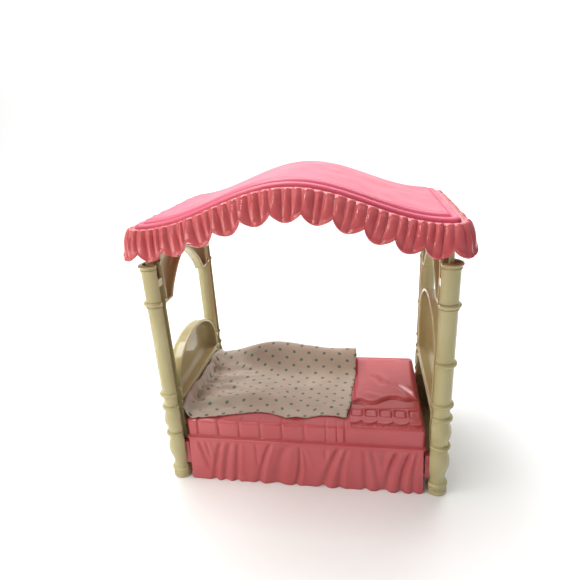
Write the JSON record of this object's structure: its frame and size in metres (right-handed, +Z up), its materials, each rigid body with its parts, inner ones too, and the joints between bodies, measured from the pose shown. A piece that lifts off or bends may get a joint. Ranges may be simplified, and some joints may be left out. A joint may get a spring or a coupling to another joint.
{
  "type": "miniature four poster bed",
  "caption": "Dolls house four poster bed with ringed posts, dished end boards, moulded mattress and skirt, a scalloped canopy that lifts off its pegs, and a loose blanket.",
  "frame": {"origin": "on the floor, under the middle of the bed", "axes": "+X towards the head end, -Y towards the front, +Z up"},
  "size_m": [0.1704, 0.1046, 0.176],
  "materials": {
    "base_plastic": "glossy injection-moulded pink plastic",
    "canopy_plastic": "glossy injection-moulded pink plastic",
    "frame_plastic": "semi-gloss injection-moulded cream plastic",
    "blanket_cotton": "thin plain-weave cotton with printed pin dots"
  },
  "bodies": {
    "bedstead": {"mattress": "base_plastic", "pillow": "base_plastic", "lace_band": "base_plastic", "skirt_front": "base_plastic", "skirt_rear": "base_plastic", "skirt_head": "base_plastic", "skirt_foot": "base_plastic", "base_tongue_head_front": "base_plastic", "base_tongue_head_rear": "base_plastic", "base_tongue_foot_front": "base_plastic", "base_tongue_foot_rear": "base_plastic", "post_head_front": "frame_plastic", "post_head_rear": "frame_plastic", "post_foot_front": "frame_plastic", "post_foot_rear": "frame_plastic", "roof_peg_head_front": "frame_plastic", "roof_peg_head_rear": "frame_plastic", "roof_peg_foot_front": "frame_plastic", "roof_peg_foot_rear": "frame_plastic", "headboard": "frame_plastic", "footboard": "frame_plastic", "arch_web_head": "frame_plastic", "arch_web_foot": "frame_plastic", "end_panel_head": "frame_plastic", "end_panel_foot": "frame_plastic"},
    "canopy": {"canopy_top": "canopy_plastic", "valance_front": "canopy_plastic", "valance_rear": "canopy_plastic", "valance_head": "canopy_plastic", "valance_foot": "canopy_plastic", "valance_corner_head_front": "canopy_plastic", "valance_corner_head_rear": "canopy_plastic", "valance_corner_foot_front": "canopy_plastic", "valance_corner_foot_rear": "canopy_plastic", "peg_socket_head_front": "canopy_plastic", "peg_socket_head_rear": "canopy_plastic", "peg_socket_foot_front": "canopy_plastic", "peg_socket_foot_rear": "canopy_plastic"},
    "blanket": {"blanket": "blanket_cotton"}
  },
  "joints": [
    {"name": "canopy_lift", "type": "slide", "parent": "bedstead", "child": "canopy", "axis": [0, 0, 1], "range_m": [0, 0.03]},
    {"name": "blanket_lift", "type": "slide", "parent": "bedstead", "child": "blanket", "axis": [0, 0, 1], "range_m": [0, 0.05]}
  ]
}
